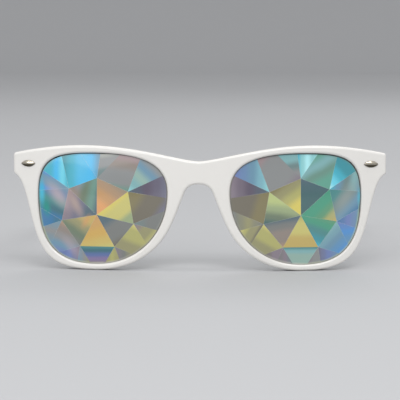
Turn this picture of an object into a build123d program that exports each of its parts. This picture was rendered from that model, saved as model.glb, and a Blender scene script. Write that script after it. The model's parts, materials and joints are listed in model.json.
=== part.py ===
from build123d import *

import os
from math import asin, atan2, cos, degrees, hypot, radians, sin, sqrt, tan

# Diffraction glasses: a moulded front, two faceted lenses and two folding temples.
# Millimetres. +X is the wearer's left, +Y the back and +Z up. The glasses stand on Z = 0
# with the temples open, and the origin lies under the middle of their bounding box.
# Every piece is made on the wearer's left and mirrored for the right.

# Front
aperture_width = 51.3  # lens opening, in the lens's own plane
aperture_height = 43.4
bridge_gap = 24.4  # between the two lens openings
rim_width = 2.5  # rim below the lens
brow_width = 2.95  # rim above the lens
bridge_height = 8.95  # bridge bar at its middle
bridge_dip = 5.95  # from the brow line down to the top of the bridge
front_thickness = 4.4
face_radius = 280.0  # wrap of the front, seen from above
front_edge_radius = 1.1
back_edge_radius = 0.9
lip_radius = 1.0  # rounded edge of the lens openings
lip_share = 0.8  # of the rim's face inside its rounded outer edge
overrun = 3.0  # how far cutting shapes run past what they cut

# Endpieces
endpiece_reach = 9.5  # from the lens opening to the outer end
endpiece_height = 8.1
endpiece_rise = 17.2  # middle of the endpiece above the middle of the lens
endpiece_thickness = 4.9  # at the outer end, from front to hinge seat
endpiece_corner = 0.2  # more than the rounding of the front edge
seat_rim = 0.6  # hinge seat left round the hinge leaf

# Nose pads, moulded on the back of the front
pad_length = 11.5
pad_width = 3.6
pad_tip_length = 8.5
pad_tip_width = 2.4
pad_depth = 4.2  # how far the pads stand behind the front
pad_splay = 0.9  # how far the pad tips lean away from the nose
pad_angle = 112.0  # degrees from level, along the nose side of the rim
pad_tip_radius = 0.8
pad_out = 9.6  # middle of the pad, from the middle of the bridge
pad_rise = 1.5  # middle of the pad, above the middle of the lens

# Lenses
groove_depth = 0.8
groove_wall = 1.25  # rim left in front of the groove where it is thinnest
flange_thickness = 1.2
lens_crown = 3.1  # middle of the lens above its flange
facet_fall = 0.8  # fall from the middle to the corners of the table
table_radius = 14.3
table_out = 1.75  # middle of the facets, from the middle of the opening
table_down = 2.35
cap_gap = 0.4  # round the facets, inside the opening
fit_gap = 0.05  # round pieces that are let in
film_thickness = 0.25
film_inset = 0.3

# Hinges
leaf_thickness = 0.8
front_leaf_width = 4.8
front_leaf_height = 6.8
temple_leaf_length = 11.0  # behind the hinge axis
temple_leaf_height = 5.6
leaf_corner = 0.5
knuckle_radius = 1.5
knuckle_height = 2.6  # the temple's knuckle, between the front's two
knuckle_gap = 0.12
swing_gap = 0.3  # between a knuckle and the leaf across from it
web_width = 2.0
screw_radius = 0.65
screw_head_radius = 1.05
screw_head_height = 0.5
screw_slot_width = 0.3
screw_slot_depth = 0.25
bore_gap = 0.05

# Rivets
plaque_length = 5.8
plaque_height = 2.5
plaque_seat = 0.3
plaque_edge = 0.2  # above the face, at the plaque's outline
plaque_dome = 0.55  # above that edge, at its middle
post_radius = 0.5
post_spacing = 2.2
pin_radius = 0.55
pin_depth = 2.8
pin_head_radius = 0.95
pin_head_height = 0.4
pin_head_bevel = 0.2
pin_first = 4.4  # along the temple, behind the hinge axis
pin_spacing = 4.2

# Temples
temple_reach = 132.0  # from the butt end to the back of the tip
temple_thickness = 3.8
tip_thickness = 3.1
butt_height = 7.8
bend_height = 6.4
tip_height = 8.0
drop_reach = 40.0  # from the ear bend to the back of the tip
ear_bend_radius = 30.0
temple_slope = 8.0  # degrees
butt_gap = 0.3
temple_margin = 0.4  # the temple's outer side, inside the end of the front
bow_start = 55.0  # where the temple starts to curve inwards, from the butt end
tip_bow = 4.0
temple_edge_radius = 1.1

# Outline of the left half, clockwise from the brow. Each joint of the outline has its place, as
# shares of the rim's half width and half height, the heading of the curve there in degrees
# (0 is outwards, 90 is up), and how far the curve keeps that heading before and after the joint,
# as shares of the rim's half width.
brow_top_shares = (0.22, 1.0, 0, 0.70, 0.40)
outer_cheek_shares = (1.025, -0.05, -103.5, 0.27, 0.57)
rim_bottom_shares = (0.10, -1.0, 180, 0.70, 0.55)
inner_cheek_shares = (-0.91, -0.385, 120, 0.29, 0.20)
bridge_side_shares = (-1.147, 0.25, 112, 0.20, 0.08)
# Heading, before and after where the places come from the sizes of the bridge and the endpiece
bridge_top_shares = (0, 0, 0.23)
endpiece_top_shares = (-12, 0.29, 0)
endpiece_low_shares = (-158, 0, 0.125)
bridge_under_shares = (180, 0.12, 0)

# Lens opening: the same at its outermost, lowest, innermost and highest point, all as shares of
# its own half width and half height
opening_shares = (
    (1.0, 0.26, -90, 0.66, 0.86),
    (0.10, -1.0, 180, 0.66, 0.66),
    (-1.0, 0.30, 90, 0.72, 0.54),
    (0.12, 1.0, 0, 0.70, 0.60),
)

# Facet corners, as shares of the table's radius, clockwise from the top, seen from the front:
# the table's corners, the points where the large outer facets would end beyond the rim, and
# the ends of the lines that split the narrow facets between them
table_shares = (
    (0.000, 1.000),
    (0.790, 0.700),
    (0.995, -0.175),
    (0.490, -0.875),
    (-0.480, -0.875),
    (-1.010, -0.235),
    (-0.855, 0.640),
)
point_shares = (
    (1.300, 2.790),
    (2.390, 0.570),
    (1.500, -1.180),
    (0.000, -1.620),
    (-1.680, -1.320),
    (-2.410, 0.385),
    (-1.550, 2.560),
)
fan_shares = (
    (-0.190, 2.430),
    (2.300, 1.680),
    (1.910, -0.500),
    (0.620, -1.620),
    (-0.760, -1.620),
    (-2.090, -0.520),
    (-2.480, 1.390),
)
crown_power_share = 1.4  # how the facets fall away: 1 is a cone, 2 a dome

# Places worked out from the sizes
lens_x = bridge_gap / 2 + aperture_width / 2
lens_z = rim_width + aperture_height / 2
rim_half_width = aperture_width / 2 + rim_width
upper_half_height = aperture_height / 2 + brow_width
lower_half_height = aperture_height / 2 + rim_width
half_width = bridge_gap / 2 + aperture_width + endpiece_reach
bridge_top = lens_z + upper_half_height - bridge_dip
bridge_under = bridge_top - bridge_height
hinge_z = lens_z + endpiece_rise
pad_z = lens_z + pad_rise


def face_depth(x):
    """Distance that the wrapped front face lies behind the bridge at x."""
    return face_radius - sqrt(face_radius**2 - x**2)


seat_depth = face_depth(half_width) + endpiece_thickness
front_y = -(seat_depth + butt_gap + temple_reach) / 2
seat_y = front_y + seat_depth
butt_y = seat_y + butt_gap
hinge_offset = knuckle_radius + swing_gap
temple_outer_x = half_width - temple_margin
temple_inner_x = temple_outer_x - temple_thickness
hinge_x = temple_inner_x - hinge_offset
hinge_y = seat_y + hinge_offset
front_plane = Plane.XZ.offset(-front_y)
seat_plane = Plane.XZ.offset(-seat_y)

lens_tilt = asin(lens_x / face_radius)
lens_plane = Plane(
    origin=(lens_x, front_y + face_depth(lens_x), lens_z),
    x_dir=(cos(lens_tilt), sin(lens_tilt), 0),
    z_dir=(sin(lens_tilt), -cos(lens_tilt), 0),
)
flange_front = -(face_depth(aperture_width / 2) + groove_wall)
flange_back = flange_front - flange_thickness

seat_inner_x = hinge_x - front_leaf_width / 2 - seat_rim
front_knuckle_height = (front_leaf_height - knuckle_height) / 2 - knuckle_gap
post_x = (hinge_x - post_spacing / 2, hinge_x + post_spacing / 2)
pin_places = (pin_first, pin_first + pin_spacing)

rivet_tilt = asin(hinge_x / face_radius)
rivet_y = front_y + face_depth(hinge_x)
rivet_plane = Plane(
    origin=(hinge_x, rivet_y, hinge_z),
    x_dir=(cos(rivet_tilt), sin(rivet_tilt), 0),
    z_dir=(sin(rivet_tilt), -cos(rivet_tilt), 0),
)


# The temple's inner side round its hinge, with x along the temple and z into it
slope = radians(temple_slope)
temple_seat_plane = Plane(
    origin=(temple_inner_x, hinge_y, hinge_z), x_dir=(0, cos(slope), -sin(slope)), z_dir=(1, 0, 0)
)

# Side view of the temple, in Y and Z: a straight fall to the ear bend, then a steeper one to
# the round tip, which stands on the floor
tip_end_y = butt_y + temple_reach
bend_reach = temple_reach - drop_reach
tip_radius = tip_height / 2
bend_centre = Vector(butt_y + bend_reach, hinge_z - bend_reach * tan(slope))
tip_centre = Vector(tip_end_y - tip_radius, tip_radius)
fall = atan2(bend_centre.Y - tip_centre.Y, tip_centre.X - bend_centre.X)
bend_across = Vector(sin((slope + fall) / 2), cos((slope + fall) / 2)) * (
    bend_height / 2 / cos((fall - slope) / 2)
)
upper_butt = (butt_y, hinge_z + butt_height / 2)
lower_butt = (butt_y, hinge_z - butt_height / 2)
upper_bend = bend_centre + bend_across
lower_bend = bend_centre - bend_across


def tip_tangent(start, side):
    """Point where a line from start touches the round tip, above it (1) or below (-1)."""
    to_centre = tip_centre - start
    aside = side * asin(tip_radius / to_centre.length)
    reach = sqrt(to_centre.length**2 - tip_radius**2)
    heading = atan2(to_centre.Y, to_centre.X) + aside
    return start + Vector(cos(heading), sin(heading)) * reach


upper_tip = tip_tangent(upper_bend, 1)
lower_tip = tip_tangent(lower_bend, -1)
tip_back = tip_centre + Vector(cos(fall), -sin(fall)) * tip_radius


def plaque_arc(margin, side):
    """Upper (1) or lower (-1) arc of the plaque's pointed oval, grown by a margin."""
    half_length = plaque_length / 2 + margin
    return (-half_length, 0), (0, side * (plaque_height / 2 + margin)), (half_length, 0)


def joint(place, heading, before_share, after_share, half_x, half_z):
    """Joint of an outline: its place, and its pulls before and after as vectors."""
    ahead = Vector(cos(radians(heading)) * half_x, sin(radians(heading)) * half_z)
    return Vector(*place), ahead * before_share, ahead * after_share


def front_joint(place, shares):
    """Joint of the front's outline at a place."""
    return joint(place, *shares, rim_half_width, rim_half_width)


def rim_joint(shares):
    """Joint of the front's outline whose place follows the rim."""
    x_share, z_share, *pull_shares = shares
    half_height = upper_half_height if z_share > 0 else lower_half_height
    place = (lens_x + x_share * rim_half_width, lens_z + z_share * half_height)
    return front_joint(place, pull_shares)


def curve_through(joints):
    """Smooth curve from joint to joint, inside a BuildLine."""
    for (start, _, after), (end, before, _) in zip(joints, joints[1:]):
        Bezier(start, start + after, end - before, end)


def opening_curve(margin):
    """Closed outline of the lens opening in the lens plane, grown by a margin."""
    half_x = aperture_width / 2 + margin
    half_z = aperture_height / 2 + margin
    joints = [joint((x * half_x, z * half_z), *pulls, half_x, half_z) for x, z, *pulls in opening_shares]
    curve_through([*joints, joints[0]])


def facet_corner(shares):
    """Corner of a facet in the lens plane, with its height above the flange."""
    x_share, z_share = shares
    height = lens_crown - facet_fall * hypot(x_share, z_share) ** crown_power_share
    return Vector(
        table_out + x_share * table_radius,
        z_share * table_radius - table_down,
        flange_front + height,
    )


def facet_triangles():
    """Three corners for each facet of the lens."""
    middle = (0, 0)
    triangles = []
    for k, corner in enumerate(table_shares):
        following = table_shares[(k + 1) % len(table_shares)]
        point, point_before, fan = point_shares[k], point_shares[k - 1], fan_shares[k]
        triangles.append((middle, corner, following))
        triangles.append((corner, point, following))
        triangles.append((corner, point_before, fan))
        triangles.append((corner, fan, point))
    return triangles


def facet_plane(triangle):
    """Plane of one facet, facing out of the lens."""
    a, b, c = [lens_plane.from_local_coords(facet_corner(shares)) for shares in triangle]
    normal = (b - a).cross(c - a)
    if normal.dot(lens_plane.z_dir) < 0:
        normal = -normal
    return Plane(origin=a, z_dir=normal)


# Front: the left half of the outline is cut from a wrapped slab and mirrored at the end
with BuildPart() as front_frame:
    endpiece_top = (half_width, hinge_z + endpiece_height / 2)
    endpiece_low = (half_width, hinge_z - endpiece_height / 2)
    with BuildSketch(front_plane):
        with BuildLine():
            curve_through([
                front_joint((0, bridge_top), bridge_top_shares),
                rim_joint(brow_top_shares),
                front_joint(endpiece_top, endpiece_top_shares),
            ])
            Line(endpiece_top, endpiece_low)
            curve_through([
                front_joint(endpiece_low, endpiece_low_shares),
                rim_joint(outer_cheek_shares),
                rim_joint(rim_bottom_shares),
                rim_joint(inner_cheek_shares),
                rim_joint(bridge_side_shares),
                front_joint((0, bridge_under), bridge_under_shares),
            ])
            Line((0, bridge_under), (0, bridge_top))
        make_face()
        fillet(vertices().group_by(Axis.X)[-1], radius=front_edge_radius + endpiece_corner)
    extrude(amount=-seat_depth)
    with BuildSketch(Plane.XY.offset(-overrun)):
        with BuildLine():
            face_centre = (0, front_y + face_radius)
            sweep_angle = degrees(asin((half_width + overrun) / face_radius))
            face = CenterArc(face_centre, face_radius, -90, sweep_angle)
            back = CenterArc(face_centre, face_radius - front_thickness, -90, sweep_angle)
            Line(face @ 0, back @ 0)
            Line(face @ 1, back @ 1)
        make_face()
    extrude(amount=lens_z + upper_half_height + 2 * overrun, mode=Mode.INTERSECT)

    # Rounded outer edges: larger at the face than at the back
    wrapped = faces().filter_by(GeomType.CYLINDER).sort_by(lambda f: f.radius)
    fillet(wrapped[-1].edges().sort_by(Axis.X)[1:], radius=front_edge_radius)
    wrapped = faces().filter_by(GeomType.CYLINDER).sort_by(lambda f: f.radius)
    back_face = [f for f in wrapped if abs(f.radius - (face_radius - front_thickness)) < fit_gap][0]
    fillet(back_face.edges().sort_by(Axis.X)[1:], radius=back_edge_radius)

    # Nose pad behind the nose side of the rim
    pad_root_y = front_y + face_depth(pad_out) + front_thickness / 2
    pad_tip_y = front_y + face_depth(pad_out) + front_thickness + pad_depth
    with BuildSketch(Plane.XZ.offset(-pad_root_y)):
        with Locations((pad_out, pad_z)):
            SlotOverall(pad_length, pad_width, rotation=pad_angle)
    with BuildSketch(Plane.XZ.offset(-pad_tip_y)):
        with Locations((pad_out + pad_splay, pad_z)):
            SlotOverall(pad_tip_length, pad_tip_width, rotation=pad_angle)
    loft()
    pad_tip = faces().sort_by_distance((pad_out + pad_splay, pad_tip_y, pad_z))[0]
    fillet(pad_tip.edges(), radius=pad_tip_radius)

    # Hinge seat behind the endpiece, as high as the temple that closes against it
    seat_root_depth = face_depth(half_width) + front_thickness / 3
    with BuildSketch(seat_plane):
        with Locations(((seat_inner_x + temple_outer_x) / 2, hinge_z)):
            RectangleRounded(temple_outer_x - seat_inner_x, butt_height, temple_edge_radius)
    extrude(amount=seat_depth - seat_root_depth)

    # Pocket for the front hinge leaf
    with BuildSketch(seat_plane):
        with Locations((hinge_x, hinge_z)):
            RectangleRounded(
                front_leaf_width + 2 * fit_gap, front_leaf_height + 2 * fit_gap, leaf_corner
            )
    extrude(amount=leaf_thickness, mode=Mode.SUBTRACT)

    # Lens opening through the rim, with a rounded lip at the face, and the groove round it
    with BuildSketch(lens_plane.offset(overrun)):
        with BuildLine():
            opening_curve(0)
        make_face()
    extrude(amount=-(front_thickness + 2 * overrun), mode=Mode.SUBTRACT)
    face = faces().filter_by(GeomType.CYLINDER).sort_by(lambda f: f.radius)[-1]
    lip = face.inner_wires().sort_by(lambda w: w.length)[-1]
    fillet(lip.edges(), radius=min(lip_radius, (rim_width - front_edge_radius) * lip_share))
    with BuildSketch(lens_plane.offset(flange_front + fit_gap)):
        with BuildLine():
            opening_curve(groove_depth)
        make_face()
    extrude(amount=-(flange_thickness + 2 * fit_gap), mode=Mode.SUBTRACT)

    # Oval seat of the plaque and the two holes for its posts
    with BuildSketch(rivet_plane.offset(-plaque_seat)):
        with BuildLine():
            ThreePointArc(*plaque_arc(fit_gap, 1))
            ThreePointArc(*plaque_arc(fit_gap, -1))
        make_face()
    extrude(amount=overrun, mode=Mode.SUBTRACT)
    with Locations(*[Plane(origin=(x, front_y, hinge_z), z_dir=(0, -1, 0)) for x in post_x]):
        Hole(post_radius + fit_gap, depth=seat_depth)

    mirror(about=Plane.YZ)

# Lens: every facet is ground off the blank, then the flange is added behind
with BuildPart() as left_lens:
    with BuildSketch(lens_plane.offset(flange_front)):
        with BuildLine():
            opening_curve(-cap_gap)
        make_face()
    extrude(amount=lens_crown)
    for triangle in facet_triangles():
        split(bisect_by=facet_plane(triangle), keep=Keep.BOTTOM)
    with BuildSketch(lens_plane.offset(flange_front)):
        with BuildLine():
            opening_curve(groove_depth - fit_gap)
        make_face()
    extrude(amount=-flange_thickness)

# Grating film on the flat back of the lens
with BuildPart() as left_grating_film:
    with BuildSketch(lens_plane.offset(flange_back)):
        with BuildLine():
            opening_curve(-film_inset)
        make_face()
    extrude(amount=-film_thickness)

# Front hinge leaf: a plate in the endpiece's pocket and two knuckles round the hinge axis
with BuildPart() as left_front_hinge_leaf:
    with BuildSketch(seat_plane):
        with Locations((hinge_x, hinge_z)):
            RectangleRounded(front_leaf_width, front_leaf_height, leaf_corner)
        with Locations(*[(x, hinge_z) for x in post_x]):
            Circle(post_radius + fit_gap, mode=Mode.SUBTRACT)
    extrude(amount=leaf_thickness)
    lower_knuckle = hinge_z - front_leaf_height / 2
    upper_knuckle = hinge_z + knuckle_height / 2 + knuckle_gap
    for knuckle_bottom in (lower_knuckle, upper_knuckle):
        with BuildSketch(Plane.XY.offset(knuckle_bottom)):
            with Locations((hinge_x, hinge_y)):
                Circle(knuckle_radius)
            with Locations((hinge_x, (seat_y - leaf_thickness + hinge_y) / 2)):
                Rectangle(web_width, hinge_y - seat_y + leaf_thickness)
        extrude(amount=front_knuckle_height)
    with Locations((hinge_x, hinge_y, hinge_z + front_leaf_height / 2)):
        CounterBoreHole(screw_radius + bore_gap, screw_head_radius + bore_gap, screw_head_height)

# Temple hinge leaf: a plate let into the temple and the knuckle between the other two
with BuildPart() as left_temple_hinge_leaf:
    with BuildSketch(temple_seat_plane):
        with Locations((temple_leaf_length / 2 - overrun / 2, 0)):
            RectangleRounded(temple_leaf_length + overrun, temple_leaf_height, leaf_corner)
        with Locations(*[(u, 0) for u in pin_places]):
            Circle(pin_radius + fit_gap, mode=Mode.SUBTRACT)
    extrude(amount=leaf_thickness)
    split(bisect_by=Plane.XZ.offset(-butt_y), keep=Keep.BOTTOM)
    with BuildSketch(Plane.XY.offset(hinge_z - knuckle_height / 2)):
        with Locations((hinge_x, hinge_y)):
            Circle(knuckle_radius)
        with Locations((hinge_x + (hinge_offset + leaf_thickness) / 2, hinge_y)):
            Rectangle(hinge_offset + leaf_thickness, web_width)
    extrude(amount=knuckle_height)
    with Locations((hinge_x, hinge_y, hinge_z + knuckle_height / 2)):
        Hole(screw_radius + bore_gap)

# Hinge screw: its head is sunk in the upper knuckle
with BuildPart() as left_hinge_screw:
    with BuildSketch(Plane.XY.offset(hinge_z - front_leaf_height / 2)):
        with Locations((hinge_x, hinge_y)):
            Circle(screw_radius)
    extrude(amount=front_leaf_height - screw_head_height)
    with BuildSketch(Plane.XY.offset(hinge_z + front_leaf_height / 2 - screw_head_height)):
        with Locations((hinge_x, hinge_y)):
            Circle(screw_head_radius)
    extrude(amount=screw_head_height)
    with BuildSketch(Plane.XY.offset(hinge_z + front_leaf_height / 2)):
        with Locations((hinge_x, hinge_y)):
            Rectangle(2 * screw_head_radius, screw_slot_width)
    extrude(amount=-screw_slot_depth, mode=Mode.SUBTRACT)

# Front rivet: a domed oval plaque with two posts that end flush with the front leaf
with BuildPart() as left_front_rivet:
    with BuildSketch(rivet_plane.offset(-plaque_seat)):
        with BuildLine():
            ThreePointArc(*plaque_arc(0, 1))
            ThreePointArc(*plaque_arc(0, -1))
        make_face()
    extrude(amount=plaque_seat + plaque_edge + plaque_dome)
    with BuildSketch(Plane(rivet_plane.origin, x_dir=rivet_plane.z_dir, z_dir=rivet_plane.x_dir)):
        with BuildLine():
            dome = ThreePointArc(
                (plaque_edge, -plaque_height / 2),
                (plaque_edge + plaque_dome, 0),
                (plaque_edge, plaque_height / 2),
            )
            Polyline(dome @ 1, (-overrun, plaque_height / 2), (-overrun, -plaque_height / 2), dome @ 0)
        make_face()
    bow_radius = (plaque_length**2 / 4 + plaque_dome**2) / (2 * plaque_dome)
    bow_centre = rivet_plane.from_local_coords((0, 0, plaque_edge + plaque_dome - bow_radius))
    revolve(axis=Axis(bow_centre, (0, 0, 1)), mode=Mode.INTERSECT)
    for x in post_x:
        post_start = rivet_y + (x - hinge_x) * tan(rivet_tilt)
        with BuildSketch(Plane.XZ.offset(-post_start)):
            with Locations((x, hinge_z)):
                Circle(post_radius)
        extrude(amount=post_start - seat_y)

# Temple: its side view, cut by its top view, with rounded long edges
with BuildPart() as left_temple:
    with BuildSketch(Plane.YZ.offset(temple_inner_x - tip_bow - overrun)):
        with BuildLine():
            Polyline(upper_butt, upper_bend, upper_tip)
            ThreePointArc(upper_tip, tip_back, lower_tip)
            Polyline(lower_tip, lower_bend, lower_butt, upper_butt)
        make_face()
        bends = [vertices().sort_by_distance(p)[0] for p in (upper_bend, lower_bend)]
        fillet(bends, radius=ear_bend_radius)
    extrude(amount=temple_thickness + tip_bow + 2 * overrun)
    with BuildSketch(Plane.XY.offset(-overrun)):
        with BuildLine():
            outer = Line((temple_outer_x, butt_y), (temple_outer_x, butt_y + bow_start))
            outer_bow = TangentArc(outer @ 1, (temple_outer_x - tip_bow, tip_end_y), tangent=outer % 1)
            inner = Line((temple_inner_x, butt_y), (temple_inner_x, butt_y + bow_start))
            inner_bow = TangentArc(inner @ 1, (temple_outer_x - tip_bow - tip_thickness, tip_end_y),
                                   tangent=inner % 1)
            Line(outer @ 0, inner @ 0)
            Line(outer_bow @ 1, inner_bow @ 1)
        make_face()
    extrude(amount=hinge_z + butt_height + 2 * overrun, mode=Mode.INTERSECT)
    long_edges = edges().filter_by(Axis.X, reverse=True).filter_by(Axis.Z, reverse=True)
    fillet(long_edges, radius=temple_edge_radius)

    # Pocket for the temple hinge leaf, open at the butt end, and the pin holes
    with BuildSketch(temple_seat_plane):
        with Locations((temple_leaf_length / 2 - overrun / 2 + fit_gap, 0)):
            RectangleRounded(temple_leaf_length + overrun, temple_leaf_height + 2 * fit_gap, leaf_corner)
    extrude(amount=leaf_thickness, mode=Mode.SUBTRACT)
    with BuildSketch(temple_seat_plane):
        with Locations(*[(u, 0) for u in pin_places]):
            Circle(pin_radius + fit_gap)
    extrude(amount=pin_depth, mode=Mode.SUBTRACT)

# Temple rivets: two pins with bevelled heads through the temple leaf
with BuildPart() as left_temple_rivets:
    with BuildSketch(temple_seat_plane):
        with Locations(*[(u, 0) for u in pin_places]):
            Circle(pin_radius)
    extrude(amount=pin_depth)
    with BuildSketch(temple_seat_plane):
        with Locations(*[(u, 0) for u in pin_places]):
            Circle(pin_head_radius)
    extrude(amount=-pin_head_height)
    chamfer(edges().group_by(Axis.X)[0], length=pin_head_bevel)

front_frame.part.label = "front_frame"
os.makedirs("parts", exist_ok=True)
export_step(front_frame.part, "parts/front_frame.step")

left_pieces = {
    "lens": left_lens,
    "grating_film": left_grating_film,
    "front_hinge_leaf": left_front_hinge_leaf,
    "temple_hinge_leaf": left_temple_hinge_leaf,
    "hinge_screw": left_hinge_screw,
    "front_rivet": left_front_rivet,
    "temple": left_temple,
    "temple_rivets": left_temple_rivets,
}
for name, left_piece in left_pieces.items():
    left_piece.part.label = f"left_{name}"
    export_step(left_piece.part, f"parts/left_{name}.step")
    with BuildPart() as right_piece:
        mirror(left_piece.part, about=Plane.YZ)
    right_piece.part.label = f"right_{name}"
    export_step(right_piece.part, f"parts/right_{name}.step")
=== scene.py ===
import json
import math

import bmesh
import bpy
from mathutils import Matrix, Vector


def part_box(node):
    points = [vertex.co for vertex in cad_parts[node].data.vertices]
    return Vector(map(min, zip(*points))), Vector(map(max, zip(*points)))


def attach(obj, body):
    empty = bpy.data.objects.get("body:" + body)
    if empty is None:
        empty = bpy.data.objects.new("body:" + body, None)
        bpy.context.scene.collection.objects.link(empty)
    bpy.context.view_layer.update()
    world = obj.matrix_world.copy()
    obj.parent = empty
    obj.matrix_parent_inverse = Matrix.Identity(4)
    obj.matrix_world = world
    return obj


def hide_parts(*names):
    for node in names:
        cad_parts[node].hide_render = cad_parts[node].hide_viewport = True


# Diffraction glasses: glossy white frame, faceted lenses with a diffraction sheen, steel fittings
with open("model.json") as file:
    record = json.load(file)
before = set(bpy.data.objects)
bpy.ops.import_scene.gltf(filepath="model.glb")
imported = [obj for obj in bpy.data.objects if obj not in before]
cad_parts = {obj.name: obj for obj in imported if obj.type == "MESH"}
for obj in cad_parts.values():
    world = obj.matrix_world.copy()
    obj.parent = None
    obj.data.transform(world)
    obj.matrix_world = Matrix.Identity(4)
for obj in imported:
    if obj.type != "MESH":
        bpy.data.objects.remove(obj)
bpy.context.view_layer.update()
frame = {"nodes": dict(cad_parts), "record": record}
nodes = frame["nodes"]
scene = bpy.context.scene
scene.view_settings.view_transform = "Standard"
mm = 0.001
sides = ("left", "right")
bodies = frame["record"]["behaviour"]["bodies"]
bodyOf = {node: body for body, members in bodies.items() for node in members}
print("frame loaded:", len(nodes), "nodes")

front = {
    "wrap": 280.0,  # mm, radius of the face
    "thickness": 4.4,  # mm
    "onFace": 0.01,  # mm within which a corner is on the face
    "along": 0.77,  # least cosine between the face and its polygons
}


# Colours are written as they look on screen, from 0 to 1
def linear(tint):
    return tuple(c / 12.92 if c <= 0.04045 else ((c + 0.055) / 1.055) ** 2.4 for c in tint) + (1.0,)


def sideOf(node):
    return 1 if node.startswith("left") else -1  # the wearer's left lies at +X


def newObject(name, data):
    made = bpy.data.objects.new(name, data)
    scene.collection.objects.link(made)
    return made


def toMesh(bm, name):
    mesh = bpy.data.meshes.new(name)
    bm.to_mesh(mesh)
    bm.free()
    return mesh


def newMaterial(name, fixed):
    material = bpy.data.materials.new(name)
    material.use_nodes = True
    tree = material.node_tree
    shader = tree.nodes["Principled BSDF"]
    for key, value in fixed.items():
        shader.inputs[key].default_value = value
    return material, tree, shader


# Camera and light

photo = {
    "side": 400,  # pixels
    "middleColumn": 198.7,  # middle of the front
    "floorRow": 270.6,  # where the rims stand
    "frontColumns": 372.0,  # from end to end of the front
    "rimShare": 0.3,  # how far back the rims stand, from the bridge at 0 to the ends at 1
    "distance": 0.65,  # metres, from the camera to the rims
    "azimuth": 1.8,  # degrees, towards the wearer's left
    "elevation": 6.0,
    "sensor": 36.0,  # mm
    "nearest": 0.01,
}
studio = {
    "floor": (0.735, 0.738, 0.745),
    "paper": {"Roughness": 0.7, "Specular IOR Level": 0.2},
    "sweep": (2.6, 0.7, 0.8),  # metres: flat radius, bend, height of the wall
    "bendSteps": 12,
    "turns": 96,
    "world": (0.985, 0.99, 1.0),
    "worldStrength": 0.68,
    "aim": (0, 0, 0.03),  # what the softboxes look at
    "softboxes": {  # place in metres, width and height, watts
        "keyBox": ((0.30, -0.95, 1.10), (0.8, 0.5), 6.0),
        "fillBox": ((-0.45, -1.0, 0.5), (0.7, 0.8), 3.5),
        "topBox": ((0.0, -0.15, 1.2), (1.0, 0.3), 2.4),
        "backBox": ((0.4, 1.1, 0.9), (0.9, 0.5), 2.4),
    },
}


def makeCamera():
    low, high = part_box("front_frame")
    width = high.x - low.x
    endDepth = width ** 2 / 8 / (front["wrap"] * mm)  # the ends lie behind the bridge by the wrap
    turn, tilt = math.radians(photo["azimuth"]), math.radians(photo["elevation"])
    back = photo["distance"] + endDepth * (1 - photo["rimShare"]) * math.cos(tilt)
    focal = photo["frontColumns"] * back / width  # pixels
    below = photo["floorRow"] - photo["side"] / 2
    aimZ = below * photo["distance"] / (focal * math.cos(tilt) - below * math.sin(tilt))
    aside = (photo["side"] / 2 - photo["middleColumn"]) * photo["distance"] / focal
    data = bpy.data.cameras.new("photoCamera")
    data.sensor_width = photo["sensor"]
    data.lens = focal * photo["sensor"] / photo["side"]
    data.clip_start = photo["nearest"]
    camera = newObject("photoCamera", data)
    right = Vector((math.cos(turn), math.sin(turn), 0))
    away = Vector((math.sin(turn) * math.cos(tilt), -math.cos(turn) * math.cos(tilt), math.sin(tilt)))
    middle = Vector((0, low.y + endDepth * photo["rimShare"], aimZ))
    camera.location = middle + right * aside + away * photo["distance"]
    camera.rotation_euler = (-away).to_track_quat("-Z", "Y").to_euler()
    scene.camera = camera


def makeLights():
    for name, (place, size, watts) in studio["softboxes"].items():
        data = bpy.data.lights.new(name, "AREA")
        data.shape = "RECTANGLE"
        data.size, data.size_y = size
        data.energy = watts
        light = newObject(name, data)
        light.location = place
        light.rotation_euler = (Vector(studio["aim"]) - Vector(place)).to_track_quat("-Z", "Y").to_euler()
    world = bpy.data.worlds.new("studioWorld")
    world.use_nodes = True
    background = world.node_tree.nodes["Background"]
    background.inputs["Color"].default_value = (*studio["world"], 1)
    background.inputs["Strength"].default_value = studio["worldStrength"]
    scene.world = world


def makeFloor():
    # a round sweep: a flat middle that curves up into a low wall on all sides
    reach, bend, wall = studio["sweep"]
    steps, turns = studio["bendSteps"], studio["turns"]
    angles = [math.pi / 2 * k / steps for k in range(steps + 1)]
    profile = [(reach + bend * math.sin(angle), bend - bend * math.cos(angle)) for angle in angles]
    profile.append((reach + bend, wall))
    bm = bmesh.new()
    rings = [[bm.verts.new((r * math.cos(math.tau * k / turns), r * math.sin(math.tau * k / turns), z))
              for k in range(turns)] for r, z in profile]
    bm.faces.new(rings[0])
    for inner, outer in zip(rings, rings[1:]):
        for k in range(turns):
            following = (k + 1) % turns
            bm.faces.new((inner[k], outer[k], outer[following], inner[following])).smooth = True
    floor = newObject("studioFloor", toMesh(bm, "studioFloor"))
    paper = newMaterial("paperSweep", {"Base Color": linear(studio["floor"]), **studio["paper"]})[0]
    floor.data.materials.append(paper)


makeCamera()
makeLights()
makeFloor()
print("camera, lights and floor made")


# Node building blocks, for shaders and geometry alike

def newTree(kind, name, inputs, outputs):
    tree = bpy.data.node_groups.new(name, kind + "NodeTree")
    for socketName, (socketKind, value) in inputs.items():
        socket = tree.interface.new_socket(socketName, in_out="INPUT", socket_type="NodeSocket" + socketKind)
        if value is not None:
            socket.default_value = value
    for socketName, socketKind in outputs.items():
        tree.interface.new_socket(socketName, in_out="OUTPUT", socket_type="NodeSocket" + socketKind)
    return tree, tree.nodes.new("NodeGroupInput").outputs, tree.nodes.new("NodeGroupOutput").inputs


def feed(tree, socket, value):
    # a socket takes another node's output or a plain value
    if isinstance(value, bpy.types.NodeSocket):
        tree.links.new(value, socket)
    else:
        socket.default_value = value


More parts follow.
